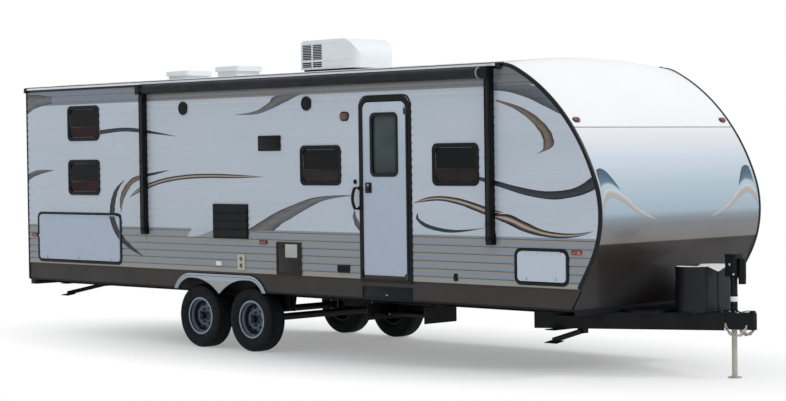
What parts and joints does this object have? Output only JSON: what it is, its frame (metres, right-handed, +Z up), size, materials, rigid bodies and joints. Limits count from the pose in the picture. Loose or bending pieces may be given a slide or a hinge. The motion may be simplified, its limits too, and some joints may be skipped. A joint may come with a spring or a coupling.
{
  "type": "travel caravan with tandem axle",
  "caption": "Towable travel caravan with a rounded nose, tandem axle under one fender, entry and luggage doors, folding step, stabilisers and a tongue jack.",
  "frame": {"origin": "on the ground, below the middle of the length and width", "axes": "+X the way it travels, towards the coupler; +Y its left side; +Z up"},
  "size_m": [9.754, 2.5725, 3.33],
  "materials": {
    "chassis_black": "satin black paint",
    "siding": "painted aluminium siding",
    "skirt_brown": "dark skirt metal",
    "front_panel": "smooth painted front panel",
    "roof_white": "white roof membrane",
    "floor_board": "floor with dark underside",
    "black_frame": "black window and door frames",
    "tinted_glass": "dark tinted glass",
    "door_white": "white moulded door skin",
    "tyre_rubber": "black tyre",
    "wheel_silver": "silver painted steel",
    "fender_silver": "bright fender trim",
    "axle_black": "black axle and springs",
    "bottle_cover": "black moulded cover",
    "jack_black": "black jack",
    "jack_zinc": "zinc plated leg",
    "awning_black": "black awning arms",
    "awning_roll": "rolled awning fabric in its tube",
    "cooler_white": "white moulded shroud",
    "fittings": "black plastic fittings",
    "lamp_lens": "coloured lamp lenses",
    "step_black": "black folding step"
  },
  "bodies": {
    "caravan": {"frame_rails": "chassis_black", "cross_members": "chassis_black", "tongue_rails": "chassis_black", "rear_bumper": "chassis_black", "coupler": "chassis_black", "safety_chains": "jack_zinc", "jack_tube": "jack_black", "gas_cover": "bottle_cover", "axles": "axle_black", "suspension": "axle_black", "fenders": "fender_silver", "floor": "floor_board", "side_wall_right": "siding", "side_wall_left": "siding", "skirts": "skirt_brown", "rear_wall": "siding", "front_cap": "front_panel", "roof": "roof_white", "window_frames": "black_frame", "window_panes": "tinted_glass", "door_frames": "black_frame", "awning_arms": "awning_black", "awning_roller": "awning_roll", "air_conditioner": "cooler_white", "roof_vents": "cooler_white", "wall_fittings": "fittings", "marker_lamps": "lamp_lens", "step_frame": "step_black", "stabiliser_bases": "chassis_black"},
    "entry_door": {"entry_door": "door_white", "entry_door_pane": "tinted_glass"},
    "luggage_door_right": {"luggage_door_right": "door_white"},
    "luggage_door_left": {"luggage_door_left": "door_white"},
    "kitchen_door": {"kitchen_door": "siding"},
    "jack_leg": {"jack_leg": "jack_zinc"},
    "step_arms": {"step_arms": "step_black"},
    "step_tread": {"step_tread": "step_black"},
    "wheel_rear_right": {"tyre_rear_right": "tyre_rubber", "rim_rear_right": "wheel_silver"},
    "wheel_rear_left": {"tyre_rear_left": "tyre_rubber", "rim_rear_left": "wheel_silver"},
    "wheel_front_right": {"tyre_front_right": "tyre_rubber", "rim_front_right": "wheel_silver"},
    "wheel_front_left": {"tyre_front_left": "tyre_rubber", "rim_front_left": "wheel_silver"},
    "stabiliser_front_right": {"stabiliser_front_right": "chassis_black"},
    "stabiliser_front_left": {"stabiliser_front_left": "chassis_black"},
    "stabiliser_rear_right": {"stabiliser_rear_right": "chassis_black"},
    "stabiliser_rear_left": {"stabiliser_rear_left": "chassis_black"}
  },
  "joints": [
    {"name": "wheel_rear_right_spin", "type": "hinge", "parent": "caravan", "child": "wheel_rear_right", "pos_m": [-1.627, -1.06, 0.345], "axis": [0, 1, 0], "continuous": true},
    {"name": "wheel_rear_left_spin", "type": "hinge", "parent": "caravan", "child": "wheel_rear_left", "pos_m": [-1.627, 1.06, 0.345], "axis": [0, 1, 0], "continuous": true},
    {"name": "wheel_front_right_spin", "type": "hinge", "parent": "caravan", "child": "wheel_front_right", "pos_m": [-0.776, -1.06, 0.345], "axis": [0, 1, 0], "continuous": true},
    {"name": "wheel_front_left_spin", "type": "hinge", "parent": "caravan", "child": "wheel_front_left", "pos_m": [-0.776, 1.06, 0.345], "axis": [0, 1, 0], "continuous": true},
    {"name": "entry_door_swing", "type": "hinge", "parent": "caravan", "child": "entry_door", "pos_m": [1.654, -1.2365, 1.7], "axis": [0, 0, 1], "range_deg": [0, 165]},
    {"name": "luggage_door_right_lift", "type": "hinge", "parent": "caravan", "child": "luggage_door_right", "pos_m": [3.382, -1.2365, 1.174], "axis": [-1, 0, 0], "range_deg": [0, 105]},
    {"name": "luggage_door_left_lift", "type": "hinge", "parent": "caravan", "child": "luggage_door_left", "pos_m": [3.382, 1.2365, 1.174], "axis": [1, 0, 0], "range_deg": [0, 105]},
    {"name": "kitchen_door_lift", "type": "hinge", "parent": "caravan", "child": "kitchen_door", "pos_m": [-3.728, -1.2365, 1.421], "axis": [-1, 0, 0], "range_deg": [0, 95]},
    {"name": "jack_leg_slide", "type": "slide", "parent": "caravan", "child": "jack_leg", "axis": [0, 0, 1], "range_m": [-0.02, 0.38]},
    {"name": "step_swing", "type": "hinge", "parent": "caravan", "child": "step_arms", "pos_m": [1.443, -1.1, 0.48], "axis": [-1, 0, 0], "range_deg": [0, 150]},
    {"name": "step_level", "type": "hinge", "parent": "step_arms", "child": "step_tread", "pos_m": [1.443, -0.85, 0.48], "axis": [-1, 0, 0], "range_deg": [-150, 0]},
    {"name": "stabiliser_front_right_swing", "type": "hinge", "parent": "caravan", "child": "stabiliser_front_right", "pos_m": [3.243, -0.48, 0.394], "axis": [1, 0, 0], "range_deg": [0, 45]},
    {"name": "stabiliser_front_left_swing", "type": "hinge", "parent": "caravan", "child": "stabiliser_front_left", "pos_m": [3.243, 0.48, 0.394], "axis": [-1, 0, 0], "range_deg": [0, 45]},
    {"name": "stabiliser_rear_right_swing", "type": "hinge", "parent": "caravan", "child": "stabiliser_rear_right", "pos_m": [-4.417, -0.34, 0.546], "axis": [1, 0, 0], "range_deg": [0, 52]},
    {"name": "stabiliser_rear_left_swing", "type": "hinge", "parent": "caravan", "child": "stabiliser_rear_left", "pos_m": [-4.417, 0.34, 0.546], "axis": [-1, 0, 0], "range_deg": [0, 52]}
  ],
  "couplings": [
    {"joint": "step_level", "follows": "step_swing", "ratio": -1}
  ]
}
